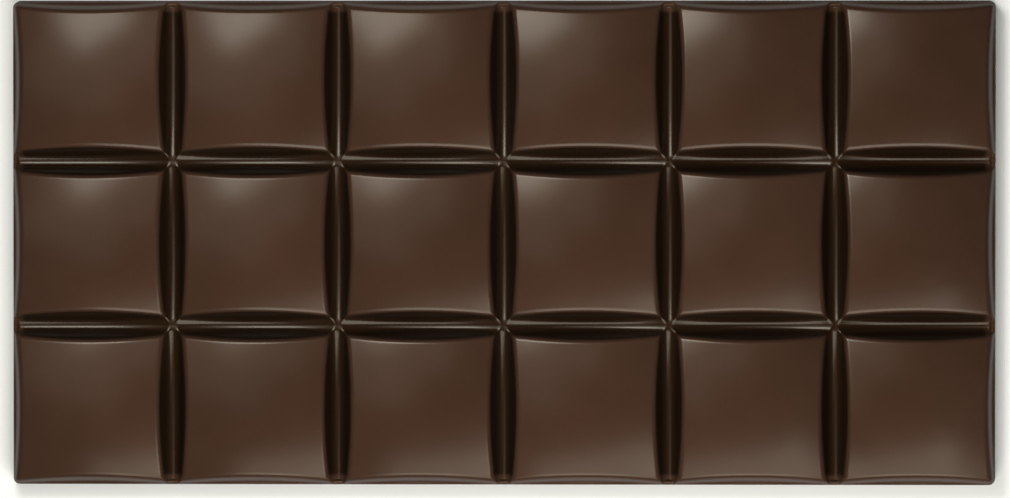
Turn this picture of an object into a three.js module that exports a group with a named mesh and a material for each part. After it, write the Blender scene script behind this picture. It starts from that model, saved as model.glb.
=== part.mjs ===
// A moulded bar of dark chocolate: a thin slab with a grid of equal blocks on it, parted by breaking
// grooves. Every block has a domed square top and four sloping flanks. Its top is highest in the middle
// and lowest at the corners, so the flanks cut it into a square with hollow edges. The grooves have round
// bottoms, which rise and widen towards every crossing, and two flanks meet in a short ridge that runs
// from each corner down to the crossing. The two grooves along the bar are a little wider than the others.
// The outermost flanks end on a narrow rim that runs round the slab and closes the ends of the grooves.
// Outside it is the slab's steep wall.
//
// Millimetres, +Z up. X runs along the bar and Y across it. The origin is the middle of the flat back,
// which the bar lies on.

import * as THREE from "three";

// ---- Driving dimensions ------------------------------------------------------------------------------

const COLUMNS = 6;
const ROWS = 3;
const BAR = { length: 159, width: 78.4, height: 7.8 };
const CORNER_RADIUS = 1.2; // of the outline, seen from above
const PITCH = { x: 26.7, y: 26.5 }; // from one groove's middle to the next

const CROWN = 0.95; // how much lower a block's top is at the middle of an edge than in its middle
const SHOULDER = 11.15; // how far from a block's middle CROWN is measured
const SHOULDER_RADIUS = 1.2; // of the rounding where a top rolls over into a flank

const GROOVE = {
  slope: 2.4, // rise of a flank for each millimetre across
  vee: 1.67, // height where its two flanks would meet, midway between two crossings
  veeLift: 0.7, // how much higher they would meet where two grooves cross
  longDrop: 0.31, // how much lower they would meet in the two grooves along the bar, which are wider
  crossing: 4.95, // height of the round bottom where two grooves cross
  fall: 1.2, // how much lower it is midway between two crossings
  longFall: 0.35, // how much more it falls in the grooves along the bar
  fallPower: 2.3, // higher keeps the bottom level for longer
  endShare: 0.6, // of the fall that is left at the ends of a groove
};

const WALL_SLOPE = 16; // rise of the slab's wall for each millimetre inwards
const RIM = {
  height: 4.65, // where it would meet the border, midway along a block
  drop: 0.15, // how much lower it is across the end of a groove
  slope: 0.15, // how much it rises for each millimetre inwards
  width: 0.8, // from the border to its inner edge, beyond which it falls as steeply as a flank
  radius: 0.45, // of the rounding between it and the wall
  blend: 0.4, // height over which flanks and grooves run out into it
};
const FOOT = 0.3; // width and height of the small bevel round the back
const RIDGE_SHARPNESS = 7; // of the ridge between two flanks: higher is sharper

const CHOCOLATE = { color: 0x4a3529, roughness: 0.38, metalness: 0 };

// ---- The surface of one block ------------------------------------------------------------------------

const crownSlope = (2 * CROWN) / SHOULDER; // of the top, at the middle of an edge
const flankAngle = Math.atan(GROOVE.slope);

// Height of the domed top at (u, v) from the middle of its block.
function domeHeight(u, v) {
  return BAR.height - (CROWN * (u * u + v * v)) / (SHOULDER * SHOULDER);
}

// Height where the flanks of a groove would meet. near is 0 midway between two crossings, and 1 at one.
// long is true for a groove along the bar. It is false for one across it and for a flank at the slab's wall.
function veeHeight(near, long) {
  return GROOVE.vee - (long ? GROOVE.longDrop : 0) + GROOVE.veeLift * near ** 2;
}

// The middle of a groove's round bottom, which rises to the crossings, and less to the groove's ends. The
// round touches both flanks.
function roundBottom(near, atEnd, long) {
  const fall = GROOVE.fall + (long ? GROOVE.longFall : 0);
  const left = atEnd ? GROOVE.endShare : 0;
  const height = GROOVE.crossing - fall * (1 - (1 - left) * near ** GROOVE.fallPower);
  const radius = (height - veeHeight(near, long)) / (1 / Math.cos(flankAngle) - 1);
  return { height, radius, halfWidth: radius * Math.sin(flankAngle) };
}

// Height of a groove's flank and of its round bottom, at a distance beside the groove's middle. A flank
// that ends at the slab's wall has no round bottom.
function grooveHeight(beside, near, atEnd, atWall, long) {
  const { height, radius, halfWidth } = roundBottom(near, atEnd, long);
  if (atWall || beside > halfWidth) return veeHeight(near, long) + GROOVE.slope * beside;
  return height + radius - Math.sqrt(radius ** 2 - beside ** 2);
}

// The lower of two heights, with a rounding between them. The arc is worked out in the plane across the
// edge, where the upper surface falls outwards at a gentle slope and the lower one at a steep slope.
function roundedMin(upper, lower, gentle, steep, radius) {
  const beyond = (upper - lower) / (steep - gentle); // distance past the sharp edge
  const gentleAngle = Math.atan(gentle);
  const steepAngle = Math.atan(steep);
  const tangent = radius * Math.tan((steepAngle - gentleAngle) / 2);
  const start = -tangent * Math.cos(gentleAngle);
  const end = tangent * Math.cos(steepAngle);
  if (beyond <= start || beyond >= end) return Math.min(upper, lower);
  const across = beyond - start + radius * Math.sin(gentleAngle);
  const centre = tangent * Math.sin(gentleAngle) - radius * Math.cos(gentleAngle);
  const arc = centre + Math.sqrt(radius ** 2 - across ** 2);
  const edge = beyond < 0 ? -gentle * beyond : -steep * beyond;
  return Math.min(upper, lower) - (edge - arc);
}

// The higher of two heights, with a hollow rounding between them.
function blendedMax(a, b, range) {
  const near = Math.max(range - Math.abs(a - b), 0) / range;
  return Math.max(a, b) + (near * near * range) / 4;
}

// The lower of a top and of the flank that cuts it, with a rounding between the two.
function shoulder(top, flank) {
  return roundedMin(top, flank, crownSlope, GROOVE.slope, SHOULDER_RADIUS);
}

// Height of a block and of the grooves round it, at u and v of 0 or more from the block's middle.
// wallU and wallV say whether the block ends at the slab's wall there, and not in a groove.
function blockHeight(u, v, wallU, wallV) {
  const halfX = PITCH.x / 2;
  const halfY = PITCH.y / 2;
  const dome = domeHeight(u, v);
  const flankU = grooveHeight(halfX - u, v / halfY, wallV, wallU, false);
  const flankV = grooveHeight(halfY - v, u / halfX, wallU, wallV, !wallV);
  const dropU = dome - shoulder(dome, flankU);
  const dropV = dome - shoulder(dome, flankV);
  return dome - (dropU ** RIDGE_SHARPNESS + dropV ** RIDGE_SHARPNESS) ** (1 / RIDGE_SHARPNESS);
}

// How far from the middle of a block its top would meet a flank in a sharp edge, at a place that is
// `along` the edge. The top is a paraboloid, so this is the root of a quadratic. half is half a pitch.
function edgeDistance(half, along, long) {
  const bend = CROWN / SHOULDER ** 2;
  const rest = GROOVE.slope * half + veeHeight(along / half, long) - domeHeight(0, along);
  return (GROOVE.slope - Math.sqrt(GROOVE.slope ** 2 - 4 * bend * rest)) / (2 * bend);
}

// Height of the slab's rim, at a distance inside the border. near is 1 at the middle of a groove.
function rimHeight(inside, near) {
  const outer = RIM.height - RIM.drop * near ** 2 + RIM.slope * inside;
  const inner = outer - (RIM.slope + GROOVE.slope) * (inside - RIM.width);
  return -blendedMax(-outer, -inner, RIM.blend);
}

// ---- The grid of points --------------------------------------------------------------------------------

const TOP_STEPS = 2; // lines from the middle of a block to the rounding of its edge
const EDGE_LINES = [-0.62, -0.12, 0.3]; // distances past the sharp edge, from one end of the rounding on
const RIM_LINES = [0.46, 0.62, 0.73, 0.81]; // shares of the way from there to the slab's border
const BOTTOM_SHARE = 0.55; // of half the round bottom's width: a line lies that far from its middle

// The grid's lines in one half of a block, from its middle outwards. Each is a function that gives its
// distance from the middle of the block, from the distances of the sharp edge, of the line inside the
// round bottom and of the block's border. The line in the middle is not included.
function halfLines(outer) {
  const rounding = EDGE_LINES.map((past) => ({ edge }) => edge + past);
  const roundingEnd = rounding.at(-1);
  const top = [];
  for (let step = 1; step < TOP_STEPS; step++)
    top.push((at) => (rounding[0](at) * step) / TOP_STEPS);
  const rim = RIM_LINES.map((share) => (at) => roundingEnd(at) + share * (at.reach - roundingEnd(at)));
  const inGroove = [({ bottom }) => bottom, ({ bottom, reach }) => (bottom + reach) / 2];
  const lower = outer ? rim : inGroove;
  return [...top, ...rounding, ...lower, ({ reach }) => reach];
}

// All the lines of the grid along one axis. Every line knows the middle of its block, the side of it that
// it is on, and its place; neighbouring blocks share the line in the middle of the groove between them.
function gridLines(count, pitch, total) {
  const outerReach = (total - (count - 1) * pitch) / 2;
  const half = pitch / 2;
  const lines = [];
  for (let cell = 0; cell < count; cell++) {
    const middle = (cell - (count - 1) / 2) * pitch;
    const side = (sign, outer) => ({ middle, sign, outer, half, reach: outer ? outerReach : half });
    const low = side(-1, cell === 0);
    const high = side(1, cell === count - 1);
    const lowLines = halfLines(low.outer).reverse();
    if (cell > 0) lowLines.shift();
    for (const place of lowLines) lines.push({ ...low, place });
    lines.push({ ...low, place: () => 0 });
    for (const place of halfLines(high.outer)) lines.push({ ...high, place });
  }
  return lines;
}

// Turns the square corner of the outline into a round one: squares about the corner's centre become
// circles, and everything further in stays as it is.
function roundCorner(x, y) {
  const centreX = BAR.length / 2 - CORNER_RADIUS;
  const centreY = BAR.width / 2 - CORNER_RADIUS;
  const beyondX = Math.abs(x) - centreX;
  const beyondY = Math.abs(y) - centreY;
  if (beyondX <= 0 || beyondY <= 0) return [x, y];
  const shrink = Math.max(beyondX, beyondY) / Math.hypot(beyondX, beyondY);
  return [
    Math.sign(x) * (centreX + beyondX * shrink),
    Math.sign(y) * (centreY + beyondY * shrink),
  ];
}

// How far from the middle of its block a line lies, where it crosses the block at `along`.
function lineDistance(line, along, long) {
  const { half, reach } = line;
  const bottom = half - BOTTOM_SHARE * roundBottom(0, false, long).halfWidth;
  return line.place({ edge: edgeDistance(half, along, long), bottom, reach });
}

// The point where a line across X meets a line across Y. Each line bends with the edge of the block, so
// its place is worked out once on the block's middle and then where the other line crosses it.
function gridPoint(lineX, lineY) {
  const long = !lineY.outer;
  const u = lineDistance(lineX, lineDistance(lineY, 0, long), false);
  const v = lineDistance(lineY, lineDistance(lineX, 0, false), long);
  const insideX = lineX.outer ? lineX.reach - u : lineX.half;
  const insideY = lineY.outer ? lineY.reach - v : lineY.half;
  const rim = Math.max(rimHeight(insideX, v / lineY.half), rimHeight(insideY, u / lineX.half));
  const upper = blendedMax(blockHeight(u, v, lineX.outer, lineY.outer), rim, RIM.blend);
  const wall = FOOT + WALL_SLOPE * Math.min(insideX, insideY);
  const height = roundedMin(upper, wall, RIM.slope, WALL_SLOPE, RIM.radius);
  const [x, y] = roundCorner(lineX.middle + lineX.sign * u, lineY.middle + lineY.sign * v);
  return [x, y, height];
}

// ---- The closed solid --------------------------------------------------------------------------------

// The grid of points, a bevel round its border, and a flat back.
function barGeometry() {
  const linesX = gridLines(COLUMNS, PITCH.x, BAR.length);
  const linesY = gridLines(ROWS, PITCH.y, BAR.width);
  const nx = linesX.length;
  const ny = linesY.length;
  const points = [];
  const triangles = [];
  for (const lineY of linesY) for (const lineX of linesX) points.push(gridPoint(lineX, lineY));

  // Each quad is split from the middle of its block outwards, so that the ridges lie on edges.
  for (let j = 0; j + 1 < ny; j++)
    for (let i = 0; i + 1 < nx; i++) {
      const a = j * nx + i;
      const [b, c, d] = [a + 1, a + nx + 1, a + nx];
      if (linesX[i + 1].sign === linesY[j + 1].sign) triangles.push([a, b, c], [a, c, d]);
      else triangles.push([a, b, d], [b, c, d]);
    }

  const border = [];
  for (let i = 0; i + 1 < nx; i++) border.push(i);
  for (let j = 0; j + 1 < ny; j++) border.push(j * nx + nx - 1);
  for (let i = nx - 1; i > 0; i--) border.push((ny - 1) * nx + i);
  for (let j = ny - 1; j > 0; j--) border.push(j * nx);

  const firstBack = points.length;
  for (const index of border) {
    const [x, y] = points[index];
    points.push([x * (1 - (2 * FOOT) / BAR.length), y * (1 - (2 * FOOT) / BAR.width), 0]);
  }
  const backMiddle = points.length;
  points.push([0, 0, 0]);
  border.forEach((index, k) => {
    const next = (k + 1) % border.length;
    triangles.push([index, firstBack + k, border[next]]);
    triangles.push([border[next], firstBack + k, firstBack + next]);
    triangles.push([firstBack + k, backMiddle, firstBack + next]);
  });

  const geometry = new THREE.BufferGeometry();
  geometry.setAttribute("position", new THREE.Float32BufferAttribute(points.flat(), 3));
  geometry.setIndex(triangles.flat());
  geometry.computeVertexNormals();
  return geometry;
}

const bar = new THREE.Mesh(barGeometry(), new THREE.MeshStandardMaterial(CHOCOLATE));
bar.name = "bar";

const chocolateBar = new THREE.Group();
chocolateBar.add(bar);

export default chocolateBar;
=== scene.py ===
"""A moulded bar of dark chocolate, six blocks long and three wide, which lies on its flat back.

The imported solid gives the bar's place and its outer size. The bar made here has the same form with a fine,
smooth surface: domed tops, rounded shoulders, sloping flanks, the grooves that the bar snaps along, the
narrow rim round the slab, and underneath the open side of the mould, which is slightly sunken. Metres, +Z
up, with the origin in the middle of the back.
"""

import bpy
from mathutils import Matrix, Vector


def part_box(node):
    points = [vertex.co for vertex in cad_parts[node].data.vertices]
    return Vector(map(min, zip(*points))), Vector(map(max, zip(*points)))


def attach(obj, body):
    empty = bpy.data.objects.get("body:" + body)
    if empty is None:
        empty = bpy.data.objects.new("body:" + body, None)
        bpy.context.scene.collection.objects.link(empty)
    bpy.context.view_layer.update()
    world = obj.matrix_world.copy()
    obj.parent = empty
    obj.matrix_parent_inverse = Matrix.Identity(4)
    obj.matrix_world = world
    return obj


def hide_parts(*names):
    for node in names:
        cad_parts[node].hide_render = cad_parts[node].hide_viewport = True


bl_info = {
    "name": "Moulded Chocolate Bar",
    "version": (1, 0, 0),
    "blender": (4, 5, 0),
    "location": "3D View > Sidebar > Chocolate",
    "description": "Makes a moulded bar of dark chocolate with domed blocks, and a plain studio for it",
    "category": "Add Mesh",
}

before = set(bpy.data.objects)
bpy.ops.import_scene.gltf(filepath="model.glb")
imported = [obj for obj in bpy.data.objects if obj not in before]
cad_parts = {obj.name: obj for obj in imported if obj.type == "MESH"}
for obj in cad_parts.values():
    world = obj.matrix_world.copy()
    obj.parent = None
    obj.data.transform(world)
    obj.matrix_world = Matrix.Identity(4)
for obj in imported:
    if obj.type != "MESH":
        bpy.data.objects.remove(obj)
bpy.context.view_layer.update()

import math

import bpy
import numpy as np
from bpy.props import FloatProperty, FloatVectorProperty, IntProperty, PointerProperty
from mathutils import Matrix, Vector, noise

BAR_LOW, BAR_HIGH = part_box("bar")
BAR_SIZE = BAR_HIGH - BAR_LOW
MM = 0.001


# ---- Settings ------------------------------------------------------------------------------------


def length(name, description, millimetres):
    """A size in metres, whose default is given in millimetres."""
    return FloatProperty(
        name=name, description=description, default=millimetres * MM, unit="LENGTH", precision=5
    )


def colour(name, description, default):
    """A colour, whose default is linear red, green and blue."""
    return FloatVectorProperty(
        name=name, description=description, default=default, subtype="COLOR", min=0, max=1
    )


def share(name, description, default):
    """A number from 0 to 1."""
    return FloatProperty(name=name, description=description, default=default, min=0, max=1)


def lean(name, degrees):
    """An angle of the camera, whose default is given in degrees."""
    return FloatProperty(
        name=name,
        description="Of the camera, off the vertical",
        default=math.radians(degrees),
        subtype="ANGLE",
    )


class BarSizes(bpy.types.PropertyGroup):
    """The sizes of the bar, of its blocks and of the grooves between them."""

    columns: IntProperty(name="Columns", description="Blocks along the bar", default=6, min=1)
    rows: IntProperty(name="Rows", description="Blocks across the bar", default=3, min=1)
    length: length("Length", "Of the bar along X", BAR_SIZE.x / MM)
    width: length("Width", "Of the bar along Y", BAR_SIZE.y / MM)
    height: length("Height", "From the back to the middle of a block's top", BAR_SIZE.z / MM)
    corner_radius: length("Corner Radius", "Of the bar's outline, seen from above", 1.2)
    pitch_x: length("Pitch X", "From one groove to the next along the bar", 26.7)
    pitch_y: length("Pitch Y", "From one groove to the next across the bar", 26.5)
    crown: length("Crown", "How far a block's top falls to the middle of an edge", 0.95)
    shoulder: length("Shoulder", "How far from a block's middle the crown is measured", 11.15)
    shoulder_radius: length("Shoulder Radius", "Of the rounding between a top and a flank", 1.2)
    flank_slope: FloatProperty(name="Flank Slope", description="Rise for each metre across", default=2.4)
    vee_height: length("Vee Height", "Where a groove's flanks would meet, midway between two crossings", 1.67)
    vee_lift: length("Vee Lift", "How much higher the flanks would meet at a crossing", 0.7)
    long_drop: length("Long Drop", "How much lower they would meet in the grooves along the bar", 0.31)
    crossing_height: length("Crossing Height", "Of a groove's round bottom at a crossing", 4.95)
    bottom_fall: length("Bottom Fall", "How much lower the round bottom is midway between two crossings", 1.2)
    long_fall: length("Long Fall", "How much more it falls in the grooves along the bar", 0.35)
    end_share: FloatProperty(
        name="End Share",
        description="Of the fall that is left at the ends of a groove",
        default=0.6,
        min=0,
        max=1,
    )
    wall_slope: FloatProperty(name="Wall Slope", description="Rise for each metre inwards", default=16)
    rim_height: length("Rim Height", "Where the slab's rim would meet its border, midway along a block", 4.65)
    rim_drop: length("Rim Drop", "How much lower the rim is across the end of a groove", 0.15)
    rim_slope: FloatProperty(name="Rim Slope", description="Rise for each metre inwards", default=0.15)
    rim_width: length("Rim Width", "From the border to the inner edge of the rim", 0.8)
    rim_radius: length("Rim Radius", "Of the rounding between the rim and the wall", 0.45)
    rim_blend: length("Rim Blend", "Height over which flanks and grooves run out into the rim", 0.4)
    foot: length("Foot", "Radius of the small rounding round the back", 0.3)
    ridge_sharpness: FloatProperty(
        name="Ridge Sharpness", description="Of the ridge between two flanks", default=7, min=2
    )
    back_hollow: length("Back Hollow", "How far the middle of the back has sunk as it set", 0.12)
    back_ripple: length("Back Ripple", "Height of the slow waves in the back", 0.05)


class ChocolateLooks(bpy.types.PropertyGroup):
    """The colours and the gloss of the chocolate."""

    # The second brown below is painted shade in the grooves, on their flanks and at the foot of the walls.
    unshaded: colour("Unshaded", "Of level faces and the outer edge, which get rubbed", (0.0373, 0.0205, 0.0152))
    painted_shade_brown: colour("Painted Shade", "Of flanks and grooves, which nothing has touched", (0.0094, 0.0055, 0.0033))
    back_brown: colour("Back Brown", "Of the open side, which set in the air", (0.0270, 0.0150, 0.0108))
    cloud_depth: share("Cloud Depth", "How much the clouds change the colour", 0.12)
    sheen: share("Sheen", "Strength of the soft brown sheen under the skin", 0.125)
    sheen_tint: colour("Sheen Tint", "Of that sheen", (1, 0.28, 0))
    body_roughness: share("Body Roughness", "Of that sheen", 0.52)
    wall_roughness: share("Wall Roughness", "Of the upright walls, which are dull", 1)
    skin_roughness: share("Skin Roughness", "Of the thin glossy skin", 0.22)
    skin: share("Skin", "How much glossy skin the grooves and the rounded edges have", 0.5)
    worn_skin: share("Worn Skin", "How much is left on the level faces, which are rubbed", 0.285)
    edge_skin: share("Edge Skin", "How much is left on the bar's outer edge, above the walls", 0.27)
    wall_skin: share("Wall Skin", "How much glossy skin the upright walls have", 0.03)
    back_skin: share("Back Skin", "How much glossy skin the open side has", 0.15)
    cloud_size: length("Cloud Size", "Of the slow changes of colour", 14)
    grain_size: length("Grain Size", "Of the fine unevenness that softens the gloss", 0.35)
    grain_depth: length("Grain Depth", "Height of that unevenness", 0.002)
    grain_pits: FloatProperty(name="Grain Pits", description="Their depth, for each grain depth", default=0.4)
    back_grain_depth: length("Back Grain Depth", "Height of the unevenness of the open side", 0.02)
    back_pits: FloatProperty(name="Back Pits", description="Their depth, for each grain depth", default=1.5)


class StudioSettings(bpy.types.PropertyGroup):
    """The table, the lamps and the camera."""

    floor_size: length("Floor Size", "Length of each side of the table", 3000)
    floor_colour: colour("Floor Colour", "Of the table's paint", (0.84, 0.88, 0.98))
    floor_roughness: share("Floor Roughness", "Of the table's paint", 0.9)
    floor_sheen: share("Floor Sheen", "Strength of the sheen of the table's paint", 0.2)
    sky_strength: FloatProperty(name="Sky Strength", description="Of an even light from all round", default=0)
    camera_distance: length("Camera Distance", "From the blocks' tops", 1100)
    view_width: length("View Width", "What the camera takes in, along the bar", 162.64)
    lean_east: lean("Lean East", 1.4)
    lean_north: lean("Lean North", 1.3)
    aim_east: length("Aim East", "Of the camera, from the bar's middle", 0.32)
    aim_north: length("Aim North", "Of the camera, from the bar's middle", -0.86)
    aim_up: length("Aim Up", "Of the camera, from the table", 6.85)


# ---- The form of the bar -------------------------------------------------------------------------


def blended_max(a, b, blend):
    """The higher of two heights, with a hollow rounding between them."""
    near = np.maximum(blend - np.abs(a - b), 0) / blend
    return np.maximum(a, b) + near**2 * blend / 4


def rounded_min(upper, lower, slopes, radius):
    """The lower of two heights, with a rounding between them.

    The arc is worked out in the plane across the edge, where the two fall outwards at the two slopes.
    """
    gentle, steep = slopes
    start_angle, end_angle = math.atan(gentle), math.atan(steep)
    tangent = radius * math.tan((end_angle - start_angle) / 2)
    start = -tangent * math.cos(start_angle)
    end = tangent * math.cos(end_angle)
    beyond = (upper - lower) / (steep - gentle)
    across = np.clip(beyond - start + radius * math.sin(start_angle), -radius, radius)
    centre = tangent * math.sin(start_angle) - radius * math.cos(start_angle)
    arc = centre + np.sqrt(radius**2 - across**2)
    edge = np.where(beyond < 0, -gentle * beyond, -steep * beyond)
    trimmed = np.where((beyond > start) & (beyond < end), edge - arc, 0)
    return np.minimum(upper, lower) - trimmed


# How a groove's bottom rises: the power of the way from midway to a crossing.
RISE_POWER = 2.3
# Where the mesh follows a groove's round bottom: the share of its half width.
BOTTOM_SHARE = 0.55


class BlockForm:
    """The surface of one block and of the grooves round it, at (u, v) from the middle of the block.

    Everything is worked out in a quarter of the block, which is `outer` in u or in v where it ends at the
    slab's wall and not in a groove.
    """

    def __init__(self, sizes):
        self.sizes = sizes
        self.bend = sizes.crown / sizes.shoulder**2
        self.crown_slope = 2 * sizes.crown / sizes.shoulder
        self.flank_angle = math.atan(sizes.flank_slope)

    def dome(self, u, v):
        """Height of the domed top."""
        return self.sizes.height - self.bend * (u * u + v * v)

    def vee(self, near, long):
        """Height where the flanks of a groove would meet. near is 0 midway and 1 at a crossing.

        long is 1 for a groove along the bar, and 0 for one across it and for a flank at the slab's wall.
        """
        return self.sizes.vee_height - self.sizes.long_drop * long + self.sizes.vee_lift * near**2

    def bottom(self, near, at_end, long):
        """Height of the middle of a groove's round bottom, which rises to the crossings and the ends."""
        fall = self.sizes.bottom_fall + self.sizes.long_fall * long
        left = np.where(at_end, self.sizes.end_share, 0)
        return self.sizes.crossing_height - fall * (1 - (1 - left) * near**RISE_POWER)

    def bottom_radius(self, near, at_end, long):
        """Radius of the round bottom, which touches both flanks."""
        depth = self.bottom(near, at_end, long) - self.vee(near, long)
        return depth / (1 / math.cos(self.flank_angle) - 1)

    def groove(self, beside, near, at_end, outer, long):
        """Height of a groove's flank and round bottom, at a distance beside the groove's middle."""
        flank = self.vee(near, long) + self.sizes.flank_slope * beside
        radius = self.bottom_radius(near, at_end, long)
        level = self.bottom(near, at_end, long) + radius
        arc = level - np.sqrt(np.maximum(radius**2 - beside**2, 0))
        in_arc = (beside < radius * math.sin(self.flank_angle)) & ~outer
        return np.where(in_arc, arc, flank)

    def shoulder_drop(self, top, flank):
        """How far the surface lies below a top that a flank cuts, with a rounding between the two."""
        slopes = (self.crown_slope, self.sizes.flank_slope)
        return top - rounded_min(top, flank, slopes, self.sizes.shoulder_radius)

    def rim(self, inside, near):
        """Height of the slab's rim, which rises to its inner edge and falls beyond it as flanks do.

        inside is the distance from the border, and near is 0 midway along a block and 1 at a groove.
        """
        sizes = self.sizes
        outer = sizes.rim_height - sizes.rim_drop * near**2 + sizes.rim_slope * inside
        fall = (sizes.rim_slope + sizes.flank_slope) * (inside - sizes.rim_width)
        return -blended_max(-outer, fall - outer, sizes.rim_blend)

    def height(self, u, v, outer_u, outer_v):
        """Height of the block and of the grooves."""
        half_u, half_v = self.sizes.pitch_x / 2, self.sizes.pitch_y / 2
        dome = self.dome(u, v)
        long = np.where(outer_v, 0, 1)
        drops = (
            self.shoulder_drop(dome, self.groove(half_u - u, v / half_v, outer_v, outer_u, 0)),
            self.shoulder_drop(dome, self.groove(half_v - v, u / half_u, outer_u, outer_v, long)),
        )
        sharpness = self.sizes.ridge_sharpness
        total = sum((each / self.sizes.height) ** sharpness for each in drops)
        return dome - total ** (1 / sharpness) * self.sizes.height

    def edge_distance(self, half, along, long):
        """How far from the middle a top would meet a flank in a sharp edge, at a place along that edge."""
        steep = self.sizes.flank_slope
        rest = steep * half + self.vee(along / half, long) - self.dome(0, along)
        return (steep - np.sqrt(steep**2 - 4 * self.bend * rest)) / (2 * self.bend)

    def bottom_distance(self, half, long):
        """How far from the middle of the block a place in the round bottom lies, near the flank."""
        return half - BOTTOM_SHARE * self.bottom_radius(0, False, long) * math.sin(self.flank_angle)


# A station is a line of the mesh. Its distance from the middle of its block is a sum of shares of these
# landmarks: the sharp edge of the top, a place in the round bottom, the block's border, one metre.
EDGE, BOTTOM, BORDER, METRE = np.eye(4)

MIDDLE = 0 * EDGE
ROUNDING_START = EDGE - 0.80 * MM * METRE
ROUNDING_END = 0.6 * EDGE + 0.4 * BOTTOM
RIM_START = 0.5 * EDGE + 0.5 * BORDER
WALL_START = 0.1 * EDGE + 0.9 * BORDER

# Each span of the mesh, from the middle of a block outwards: where it starts and ends, and its steps.
TOP_SPANS = [
    (MIDDLE, ROUNDING_START, 9),
]
GROOVE_SPANS = [
    (ROUNDING_START, ROUNDING_END, 10),
    (ROUNDING_END, BOTTOM, 4),
    (BOTTOM, BORDER, 7),
]
WALL_SPANS = [
    (ROUNDING_START, RIM_START, 14),
    (RIM_START, WALL_START, 12),
    (WALL_START, BORDER, 3),
]


def stations(outer):
    """The stations in one half of a block, from its middle outwards, without the one in the middle."""
    spans = TOP_SPANS + (WALL_SPANS if outer else GROOVE_SPANS)
    return [
        start + (end - start) * step / steps
        for start, end, steps in spans
        for step in range(1, steps + 1)
    ]


class Lines:
    """All the lines of the mesh along one axis.

    Neighbouring blocks share the line in the middle of the groove between them.
    """

    def __init__(self, count, pitch, total):
        rows = []
        outer_reach = (total - (count - 1) * pitch) / 2
        for cell in range(count):
            middle = (cell - (count - 1) / 2) * pitch
            for sign, outer in ((-1, cell == 0), (1, cell == count - 1)):
                half = [(middle, sign, outer, station) for station in stations(outer)]
                if sign < 0:
                    half = half[::-1] if cell == 0 else half[-2::-1]
                    half.append((middle, sign, outer, MIDDLE))
                rows += half
        self.middle = np.array([row[0] for row in rows])
        self.sign = np.array([row[1] for row in rows])
        self.outer = np.array([row[2] for row in rows])
        self.station = np.array([row[3] for row in rows])
        self.half = pitch / 2
        self.reach = np.where(self.outer, outer_reach, pitch / 2)

    def distance(self, form, along, long):
        """How far each line lies from the middle of its block, where it crosses the block at `along`.

        long is 1 at a groove along the bar, and 0 elsewhere.
        """
        shape = np.broadcast(self.reach[:, None], along).shape
        landmarks = np.stack(
            [
                np.broadcast_to(form.edge_distance(self.half, along, long), shape),
                np.broadcast_to(form.bottom_distance(self.half, long), shape),
                np.broadcast_to(self.reach[:, None], shape),
                np.ones(shape),
            ]
        )
        return np.einsum("ls,sla->la", self.station, landmarks)


def top_points(sizes):
    """The grid of points of the moulded side, as arrays [line across Y, line across X]."""
    form = BlockForm(sizes)
    lines_x = Lines(sizes.columns, sizes.pitch_x, sizes.length)
    lines_y = Lines(sizes.rows, sizes.pitch_y, sizes.width)
    outer_x, outer_y = lines_x.outer[:, None], lines_y.outer[:, None]
    zero = np.zeros((1, 1))
    long = np.where(outer_y, 0, 1)
    rough_u = lines_x.distance(form, zero, zero)[:, 0]
    rough_v = lines_y.distance(form, zero, long)[:, 0]
    u = lines_x.distance(form, rough_v[None, :], zero).T
    v = lines_y.distance(form, rough_u[None, :], long)
    height = form.height(u, v, outer_x.T, outer_y)
    inside_x = np.where(lines_x.outer, lines_x.reach - u, lines_x.half)
    inside_y = np.where(outer_y, lines_y.reach[:, None] - v, lines_y.half)
    rim = np.maximum(form.rim(inside_x, v / lines_y.half), form.rim(inside_y, u / lines_x.half))
    wall = sizes.foot + sizes.wall_slope * np.minimum(inside_x, inside_y)
    slopes = (sizes.rim_slope, sizes.wall_slope)
    height = rounded_min(blended_max(height, rim, sizes.rim_blend), wall, slopes, sizes.rim_radius)
    x = lines_x.middle + lines_x.sign * u
    y = lines_y.middle[:, None] + lines_y.sign[:, None] * v
    x, y = round_corners(sizes, x, y)
    return x, y, height


def round_corners(sizes, x, y):
    """Turns the square corners of the outline into round ones. What is further in stays as it is."""
    beyond_x = np.maximum(np.abs(x) - sizes.length / 2 + sizes.corner_radius, 0)
    beyond_y = np.maximum(np.abs(y) - sizes.width / 2 + sizes.corner_radius, 0)
    both = (beyond_x > 0) & (beyond_y > 0)
    reach = np.hypot(beyond_x, beyond_y)
    shrink = np.where(both, np.maximum(beyond_x, beyond_y) / np.where(both, reach, 1), 1)
    return (
        x - np.sign(x) * beyond_x * (1 - shrink),
        y - np.sign(y) * beyond_y * (1 - shrink),
    )


# ---- The mesh of the bar -------------------------------------------------------------------------

FOOT_STEPS = 4
BACK_STEP = 1.3 * MM
BACK_RIM_WIDTH = 1.1 * MM
BACK_FADE = 4 * BACK_RIM_WIDTH

# The waves in the back: their lengths along X and Y, their share of the whole, and where the noise is cut.
SLOW_WAVES = (21 * MM, 17 * MM, 1, 3.1)
SHORT_WAVES = (6 * MM, 6 * MM, 0.4, 7.7)


def grid_faces(columns, rows, first=0):
    """The quads of a grid of points that is stored row by row."""
    index = first + np.arange(columns * rows).reshape(rows, columns)
    return np.stack([index[:-1, :-1], index[:-1, 1:], index[1:, 1:], index[1:, :-1]], -1).reshape(-1, 4)


def grid_border(columns, rows, first=0):
    """The points round the border of a grid, anticlockwise."""
    index = first + np.arange(columns * rows).reshape(rows, columns)
    return np.concatenate([index[0, :-1], index[:-1, -1], index[-1, :0:-1], index[:0:-1, 0]])


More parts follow.
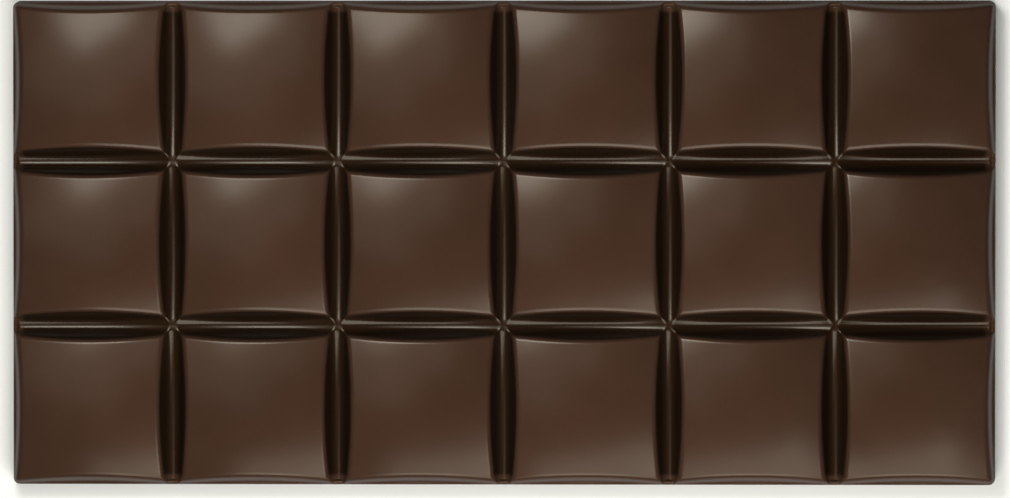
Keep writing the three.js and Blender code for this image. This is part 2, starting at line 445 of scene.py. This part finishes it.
def strip(outer, inner):
    """The triangles between two rings of points, both given as (index, share of the way round)."""
    triangles = []
    i = j = 0
    while i < len(outer) or j < len(inner):
        next_outer = outer[i + 1][1] if i + 1 < len(outer) else 1
        next_inner = inner[j + 1][1] if j + 1 < len(inner) else 1
        a = outer[i % len(outer)][0]
        b = inner[j % len(inner)][0]
        if j >= len(inner) or (i < len(outer) and next_outer <= next_inner):
            i += 1
            triangles.append((a, b, outer[i % len(outer)][0]))
        else:
            j += 1
            triangles.append((a, b, inner[j % len(inner)][0]))
    return triangles


def ring_shares(points):
    """How far round a ring each point is, by its angle, with each side of the bar a quarter of the way."""
    x, y = points[:, 0], points[:, 1]
    half_x, half_y = np.abs(x).max(), np.abs(y).max()
    square_x, square_y = x / half_x, y / half_y
    south = np.where(square_y <= -np.abs(square_x), (square_x + 1) / 8, 0)
    east = np.where(square_x > np.abs(square_y), 1 / 4 + (square_y + 1) / 8, 0)
    north = np.where(square_y >= np.abs(square_x), 1 / 2 + (1 - square_x) / 8, 0)
    west = np.where(square_x < -np.abs(square_y), 3 / 4 + (1 - square_y) / 8, 0)
    return np.maximum.reduce([south, east, north, west])


def back_height(sizes, x, y):
    """Height of the back, which has sunk a little inside its rim and has slow shallow waves."""
    inside = min(sizes.length / 2 - abs(x), sizes.width / 2 - abs(y)) - BACK_RIM_WIDTH
    fall = 1 - math.exp(-max(inside, 0) / BACK_FADE)
    wave = sum(
        part * noise.noise(Vector((x / long_x, y / long_y, cut)))
        for long_x, long_y, part, cut in (SLOW_WAVES, SHORT_WAVES)
    )
    return fall * max(sizes.back_hollow + sizes.back_ripple * wave, 0)


def foot_rings(sizes, border):
    """The rings of points of the rounding at the foot of the walls, from the border down to the back."""
    for step in range(1, FOOT_STEPS + 1):
        turn = math.pi / 2 * step / FOOT_STEPS
        inward = sizes.foot * (1 - math.cos(turn))
        level = sizes.foot * (1 - math.sin(turn))
        shrink = np.array([1 - 2 * inward / sizes.length, 1 - 2 * inward / sizes.width])
        yield np.column_stack([border[:, :2] * shrink, np.full(len(border), level)])


def back_points(sizes, columns, rows):
    """The grid of points of the back, inside its rim."""
    half_x = sizes.length / 2 - sizes.foot - BACK_RIM_WIDTH
    half_y = sizes.width / 2 - sizes.foot - BACK_RIM_WIDTH
    return np.array(
        [
            (x, y, back_height(sizes, x, y))
            for y in np.linspace(-half_y, half_y, rows)
            for x in np.linspace(-half_x, half_x, columns)
        ]
    )


def bar_mesh(sizes):
    """The closed mesh of the bar: the moulded side, a rounding at its foot, a rim, and the open side."""
    x, y, height = top_points(sizes)
    rows, columns = x.shape
    points = [np.stack([x, y, height], -1).reshape(-1, 3)]
    faces = grid_faces(columns, rows).tolist()
    ring = grid_border(columns, rows)
    count = x.size

    for ring_points in foot_rings(sizes, points[0][ring]):
        points.append(ring_points)
        next_ring = count + np.arange(len(ring))
        quads = np.stack([ring, next_ring, np.roll(next_ring, -1), np.roll(ring, -1)], -1)
        faces += quads.tolist()
        ring = next_ring
        count += len(ring)
    side_faces = len(faces)

    columns = round(sizes.length / BACK_STEP)
    rows = round(sizes.width / BACK_STEP)
    back = back_points(sizes, columns, rows)
    inner = grid_border(columns, rows)
    inner_ring = sorted(zip(ring_shares(back[inner]), count + inner))
    outer_ring = sorted(zip(ring_shares(points[-1]), ring))
    rim_triangles = strip([(b, a) for a, b in outer_ring], [(b, a) for a, b in inner_ring])
    faces += [list(triangle)[::-1] for triangle in rim_triangles]
    faces += grid_faces(columns, rows, count)[:, ::-1].tolist()
    points.append(back)

    mesh = bpy.data.meshes.new("chocolate_bar")
    mesh.from_pydata(np.concatenate(points).tolist(), [], faces)
    mesh.validate()
    material_index = np.zeros(len(faces), np.int32)
    material_index[side_faces:] = 1
    mesh.polygons.foreach_set("material_index", material_index)
    mesh.polygons.foreach_set("use_smooth", np.ones(len(faces), bool))
    mesh.update()
    return mesh


# ---- The materials -------------------------------------------------------------------------------

COCOA_IOR = 1.46

CLOUD_DETAIL = 5
CLOUD_ROUGHNESS = 0.55
CLOUD_LOW, CLOUD_HIGH = 0.3, 0.7

GRAIN_DETAIL = 3
# Cells with a pit in the middle, for each grain across, and the width of a pit as a share of a cell.
PIT_CELLS = 0.12
PIT_WIDTH = 0.14


def feed(tree, value, socket):
    """Gives an input socket its value: a link from an output socket, or a plain value."""
    if isinstance(value, bpy.types.NodeSocket):
        tree.links.new(value, socket)
    else:
        socket.default_value = value


def new_group(name, inputs, outputs):
    """A node group with number inputs, given with their defaults, and number outputs.

    Returns the group, and its two nodes for what comes in and what goes out.
    """
    group = bpy.data.node_groups.new(name, "ShaderNodeTree")
    for socket_name, default in inputs.items():
        socket = group.interface.new_socket(socket_name, in_out="INPUT", socket_type="NodeSocketFloat")
        socket.default_value = default
    for socket_name in outputs:
        group.interface.new_socket(socket_name, in_out="OUTPUT", socket_type="NodeSocketFloat")
    return group, group.nodes.new("NodeGroupInput"), group.nodes.new("NodeGroupOutput")


def use_group(tree, group, values):
    """Places a node group in a material with its own values, and returns its outputs."""
    node = tree.nodes.new("ShaderNodeGroup")
    node.node_tree = group
    for name, value in values.items():
        feed(tree, value, node.inputs[name])
    return node.outputs


def maths(group, operation, *values):
    """The result of a node that works out one number."""
    node = group.nodes.new("ShaderNodeMath")
    node.operation = operation
    for socket, value in zip(node.inputs, values):
        feed(group, value, socket)
    return node.outputs[0]


def axes(group, vector):
    """The X, Y and Z of a vector."""
    node = group.nodes.new("ShaderNodeSeparateXYZ")
    feed(group, vector, node.inputs["Vector"])
    return node.outputs


def ramp(group, value, low, high, start=0, end=1, smooth=True):
    """A number that goes from start to end as a value goes from low to high."""
    node = group.nodes.new("ShaderNodeMapRange")
    if smooth:
        node.interpolation_type = "SMOOTHSTEP"
    settings = {"Value": value, "From Min": low, "From Max": high, "To Min": start, "To Max": end}
    for name, setting in settings.items():
        feed(group, setting, node.inputs[name])
    return node.outputs["Result"]


def cloud_group():
    """A node group that gives slow clouds, with finer mottling in them, from 0 to 1."""
    group, enter, leave = new_group("Cocoa Clouds", {"Size": 10 * MM}, ("Clouds",))
    place = group.nodes.new("ShaderNodeTexCoord")
    clouds = group.nodes.new("ShaderNodeTexNoise")
    clouds.inputs["Detail"].default_value = CLOUD_DETAIL
    clouds.inputs["Roughness"].default_value = CLOUD_ROUGHNESS
    feed(group, place.outputs["Object"], clouds.inputs["Vector"])
    feed(group, maths(group, "DIVIDE", 1, enter.outputs["Size"]), clouds.inputs["Scale"])
    spread = ramp(group, clouds.outputs["Fac"], CLOUD_LOW, CLOUD_HIGH, smooth=False)
    feed(group, spread, leave.inputs["Clouds"])
    return group


def grain_group():
    """A node group that gives the height of a fine grain with small pits in it."""
    group, enter, leave = new_group("Cocoa Grain", {"Size": 0.4 * MM, "Pits": 0.5}, ("Height",))
    place = group.nodes.new("ShaderNodeTexCoord")
    scale = maths(group, "DIVIDE", 1, enter.outputs["Size"])
    grain = group.nodes.new("ShaderNodeTexNoise")
    grain.inputs["Detail"].default_value = GRAIN_DETAIL
    feed(group, place.outputs["Object"], grain.inputs["Vector"])
    feed(group, scale, grain.inputs["Scale"])
    cells = group.nodes.new("ShaderNodeTexVoronoi")
    feed(group, place.outputs["Object"], cells.inputs["Vector"])
    feed(group, maths(group, "MULTIPLY", scale, PIT_CELLS), cells.inputs["Scale"])
    beside_pit = ramp(group, cells.outputs["Distance"], 0, PIT_WIDTH)
    pits = maths(group, "MULTIPLY", beside_pit, enter.outputs["Pits"])
    feed(group, maths(group, "ADD", grain.outputs["Fac"], pits), leave.inputs["Height"])
    return group


def painted_shade_group(half_length, half_width):
    """A node group that gives 1 where no shade is painted, and 0 in the grooves and on their flanks.

    There the darker brown is painted shade. The places without it are the high level faces, and the outer
    edge all round, where the mask fades down the walls, so that the painted shade grows towards their foot.
    The output Edge is that outer edge alone.
    """
    inputs = {
        "Half Length": half_length,
        "Half Width": half_width,
        "Steep": 0.45,
        "Level": 0.92,
        "Low": 5.0 * MM,
        "High": 5.7 * MM,
        "Inner": 2.2 * MM,
        "Outer": 1.4 * MM,
        "Foot": -0.5 * MM,
        "Rim": 4.6 * MM,
    }
    group, enter, leave = new_group("Painted Shade Mask", inputs, ("Unshaded", "Edge"))
    given = enter.outputs
    place = group.nodes.new("ShaderNodeTexCoord")
    x, y, height = axes(group, place.outputs["Object"])
    upwards = axes(group, place.outputs["Normal"])["Z"]
    from_end = maths(group, "SUBTRACT", given["Half Length"], maths(group, "ABSOLUTE", x))
    from_side = maths(group, "SUBTRACT", given["Half Width"], maths(group, "ABSOLUTE", y))
    inside = maths(group, "MINIMUM", from_end, from_side)
    level = ramp(group, upwards, given["Steep"], given["Level"])
    # Painted shade is left out on high level faces, and fades in down the outer walls towards their foot.
    face = ramp(group, height, given["Low"], given["High"], end=level)
    outer = ramp(group, inside, given["Inner"], given["Outer"])
    edge = ramp(group, height, given["Foot"], given["Rim"], end=outer)
    feed(group, maths(group, "MAXIMUM", face, edge), leave.inputs["Unshaded"])
    feed(group, edge, leave.inputs["Edge"])
    return group


def gloss_group():
    """A node group that gives the share of glossy skin, and the roughness of the chocolate under it.

    The skin is worn on the high level faces and on the outer edge, whole on the rounded edges of the tops
    and in the grooves, and gone from the upright walls.
    """
    inputs = {
        "Skin": 0.5,
        "Worn Skin": 0.3,
        "Edge": 0,
        "Edge Skin": 0.3,
        "Wall Skin": 0,
        "Roughness": 0.5,
        "Wall Roughness": 1,
        "Upright": 0.1,
        "Sloping": 0.33,
        "Tilted": 0.962,
        "Level": 0.986,
        "Low": 5.0 * MM,
        "High": 5.7 * MM,
    }
    group, enter, leave = new_group("Mould Gloss", inputs, ("Skin", "Roughness"))
    given = enter.outputs
    place = group.nodes.new("ShaderNodeTexCoord")
    height = axes(group, place.outputs["Object"])["Z"]
    levelness = maths(group, "ABSOLUTE", axes(group, place.outputs["Normal"])["Z"])
    level = ramp(group, levelness, given["Tilted"], given["Level"])
    worn = ramp(group, height, given["Low"], given["High"], end=level)
    skin = ramp(group, worn, 0, 1, given["Skin"], given["Worn Skin"], smooth=False)
    skin = ramp(group, given["Edge"], 0, 1, skin, given["Edge Skin"], smooth=False)
    results = (
        ("Skin", given["Wall Skin"], skin),
        ("Roughness", given["Wall Roughness"], given["Roughness"]),
    )
    for name, on_wall, elsewhere in results:
        value = ramp(group, levelness, given["Upright"], given["Sloping"], on_wall, elsewhere)
        feed(group, value, leave.inputs[name])
    return group


def chocolate(name, looks, browns, skins, grain_depth, pits, groups):
    """A chocolate surface: clouded brown with a soft sheen, under a thin glossy skin, with a fine grain.

    browns are the darker brown, which is painted shade in deep places, and the brown where no shade is
    painted, and skins the shares of skin on whole and on worn ones.
    """
    material = bpy.data.materials.new(name)
    material.use_nodes = True
    tree = material.node_tree
    tree.nodes.clear()
    surface = tree.nodes.new("ShaderNodeBsdfPrincipled")
    output = tree.nodes.new("ShaderNodeOutputMaterial")
    feed(tree, surface.outputs["BSDF"], output.inputs["Surface"])

    # Mask of painted shade: 0 in the grooves, on their flanks and low on the walls, 1 where no shade is
    # painted.
    unshaded = use_group(tree, groups["unshaded"], {})
    gloss_values = {
        "Skin": skins[0],
        "Worn Skin": skins[1],
        "Edge": unshaded["Edge"],
        "Edge Skin": looks.edge_skin,
        "Wall Skin": looks.wall_skin,
        "Roughness": looks.body_roughness,
        "Wall Roughness": looks.wall_roughness,
    }
    gloss = use_group(tree, groups["gloss"], gloss_values)
    clouds = use_group(tree, groups["clouds"], {"Size": looks.cloud_size})
    grain = use_group(tree, groups["grain"], {"Size": looks.grain_size, "Pits": pits})

    # Base colour: the darker brown, which is painted shade, where the mask is 0, and the other brown where it
    # is 1.
    base = tree.nodes.new("ShaderNodeMix")
    base.data_type = "RGBA"
    base.inputs["A"].default_value, base.inputs["B"].default_value = ((*brown, 1) for brown in browns)
    feed(tree, unshaded["Unshaded"], base.inputs["Factor"])
    shade_range = (1 - looks.cloud_depth, 1 + looks.cloud_depth)
    shade = ramp(tree, clouds["Clouds"], 0, 1, *shade_range, smooth=False)
    tint = tree.nodes.new("ShaderNodeVectorMath")
    tint.operation = "SCALE"
    feed(tree, base.outputs["Result"], tint.inputs["Vector"])
    feed(tree, shade, tint.inputs["Scale"])

    bump = tree.nodes.new("ShaderNodeBump")
    bump.inputs["Strength"].default_value = 1
    bump.inputs["Distance"].default_value = grain_depth
    feed(tree, grain["Height"], bump.inputs["Height"])

    finish = {
        "Base Color": tint.outputs["Vector"],
        "Roughness": gloss["Roughness"],
        "IOR": COCOA_IOR,
        "Specular IOR Level": looks.sheen,
        "Specular Tint": (*looks.sheen_tint, 1),
        "Coat Weight": gloss["Skin"],
        "Coat Roughness": looks.skin_roughness,
        "Coat IOR": COCOA_IOR,
        "Normal": bump.outputs["Normal"],
    }
    for socket, value in finish.items():
        feed(tree, value, surface.inputs[socket])
    return material


def table_material(studio):
    """Matt pale paint for the table."""
    material = bpy.data.materials.new("pale_table")
    material.use_nodes = True
    surface = material.node_tree.nodes["Principled BSDF"]
    surface.inputs["Base Color"].default_value = (*studio.floor_colour, 1)
    surface.inputs["Roughness"].default_value = studio.floor_roughness
    surface.inputs["Specular IOR Level"].default_value = studio.floor_sheen
    return material


# ---- The operators -------------------------------------------------------------------------------


class CHOCOLATE_OT_mould_bar(bpy.types.Operator):
    """Make the bar of chocolate, with its moulded and its open side"""

    bl_idname = "chocolate.mould_bar"
    bl_label = "Mould the Bar"

    def execute(self, context):
        sizes = context.scene.bar_sizes
        looks = context.scene.chocolate_looks
        groups = {
            "clouds": cloud_group(),
            "grain": grain_group(),
            "unshaded": painted_shade_group(sizes.length / 2, sizes.width / 2),
            "gloss": gloss_group(),
        }
        bar = bpy.data.objects.new("chocolate_bar", bar_mesh(sizes))
        context.scene.collection.objects.link(bar)
        # The darker of the moulded side's two browns is painted shade in the grooves, on the flanks and low
        # on the walls.
        moulded = chocolate(
            "moulded_chocolate",
            looks,
            (looks.painted_shade_brown, looks.unshaded),
            (looks.skin, looks.worn_skin),
            looks.grain_depth,
            looks.grain_pits,
            groups,
        )
        open_side = chocolate(
            "open_side_chocolate",
            looks,
            (looks.back_brown, looks.back_brown),
            (looks.back_skin, looks.back_skin),
            looks.back_grain_depth,
            looks.back_pits,
            groups,
        )
        bar.data.materials.append(moulded)
        bar.data.materials.append(open_side)
        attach(bar, "root")
        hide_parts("bar")
        return {"FINISHED"}


# How far the camera sees, in metres.
VIEW_END = 10

LAMP_COLOUR = (1, 0.95, 0.80)

# Each lamp: its name, its place in millimetres from the middle of the bar's back, its sides in millimetres
# and its watts.
LAMPS = (
    ("key_lamp", (-85, 148, 328), (119, 97), 0.695),
    ("back_lamp", (12, 95, 357), (42, 129), 0.046),
    ("low_lamp", (41, -234, 283), (249, 258), 1.347),
    ("side_lamp", (-119, 43, 348), (133, 194), 0.150),
    ("right_lamp", (156, -143, 303), (56, 129), 0.079),
)


class CHOCOLATE_OT_set_stage(bpy.types.Operator):
    """Make the table, the lamps and the camera"""

    bl_idname = "chocolate.set_stage"
    bl_label = "Set the Stage"

    def execute(self, context):
        studio = context.scene.studio_settings
        self.make_table(context, studio)
        self.make_lamps(context)
        self.make_sky(context, studio)
        self.make_camera(context, studio)
        context.scene.view_settings.view_transform = "Standard"
        return {"FINISHED"}

    def make_table(self, context, studio):
        """A plain pale plane that the bar lies on."""
        half = studio.floor_size / 2
        mesh = bpy.data.meshes.new("table")
        corners = [(-half, -half, 0), (half, -half, 0), (half, half, 0), (-half, half, 0)]
        mesh.from_pydata(corners, [], [(0, 1, 2, 3)])
        mesh.materials.append(table_material(studio))
        table = bpy.data.objects.new("table", mesh)
        context.scene.collection.objects.link(table)

    def make_lamps(self, context):
        """Soft rectangular lamps that face the bar."""
        for name, place, sides, watts in LAMPS:
            data = bpy.data.lights.new(name, "AREA")
            data.shape = "RECTANGLE"
            data.size, data.size_y = (side * MM for side in sides)
            data.energy = watts
            data.color = LAMP_COLOUR
            lamp = bpy.data.objects.new(name, data)
            lamp.location = Vector(place) * MM
            lamp.rotation_euler = (-lamp.location).to_track_quat("-Z", "Y").to_euler()
            context.scene.collection.objects.link(lamp)

    def make_sky(self, context, studio):
        """An even light from all round, which has no strength unless the settings give it some."""
        world = bpy.data.worlds.new("studio")
        world.use_nodes = True
        world.node_tree.nodes["Background"].inputs["Color"].default_value = (1, 1, 1, 1)
        world.node_tree.nodes["Background"].inputs["Strength"].default_value = studio.sky_strength
        context.scene.world = world

    def make_camera(self, context, studio):
        """A long lens, high above the bar and close to upright."""
        data = bpy.data.cameras.new("camera")
        data.lens = data.sensor_width * studio.camera_distance / studio.view_width
        data.clip_end = VIEW_END
        camera = bpy.data.objects.new("camera", data)
        away = Vector((math.tan(studio.lean_east), math.tan(studio.lean_north), 1)).normalized()
        aim = Vector((studio.aim_east, studio.aim_north, studio.aim_up))
        camera.location = aim + away * studio.camera_distance
        right = Vector((0, 1, 0)).cross(away).normalized()
        camera.rotation_euler = Matrix((right, away.cross(right), away)).transposed().to_euler()
        context.scene.collection.objects.link(camera)
        context.scene.camera = camera


class CHOCOLATE_PT_panel(bpy.types.Panel):
    """The settings of the bar and of the studio, and the buttons that make them"""

    bl_idname = "CHOCOLATE_PT_panel"
    bl_label = "Chocolate Bar"
    bl_space_type = "VIEW_3D"
    bl_region_type = "UI"
    bl_category = "Chocolate"

    def draw(self, context):
        scene = context.scene
        for settings, operator in (
            ((scene.bar_sizes, scene.chocolate_looks), CHOCOLATE_OT_mould_bar),
            ((scene.studio_settings,), CHOCOLATE_OT_set_stage),
        ):
            box = self.layout.box()
            for group in settings:
                for name in group.__annotations__:
                    box.prop(group, name)
            box.operator(operator.bl_idname)


CLASSES = (
    BarSizes,
    ChocolateLooks,
    StudioSettings,
    CHOCOLATE_OT_mould_bar,
    CHOCOLATE_OT_set_stage,
    CHOCOLATE_PT_panel,
)


def register():
    """Makes the classes known, and gives every scene its settings."""
    for each in CLASSES:
        bpy.utils.register_class(each)
    bpy.types.Scene.bar_sizes = PointerProperty(type=BarSizes)
    bpy.types.Scene.chocolate_looks = PointerProperty(type=ChocolateLooks)
    bpy.types.Scene.studio_settings = PointerProperty(type=StudioSettings)


def unregister():
    """Takes the settings and the classes away again."""
    del bpy.types.Scene.studio_settings
    del bpy.types.Scene.chocolate_looks
    del bpy.types.Scene.bar_sizes
    for each in reversed(CLASSES):
        bpy.utils.unregister_class(each)


def main():
    """Makes everything, in order."""
    register()
    bpy.ops.chocolate.mould_bar()
    bpy.ops.chocolate.set_stage()


if __name__ == "__main__":
    main()
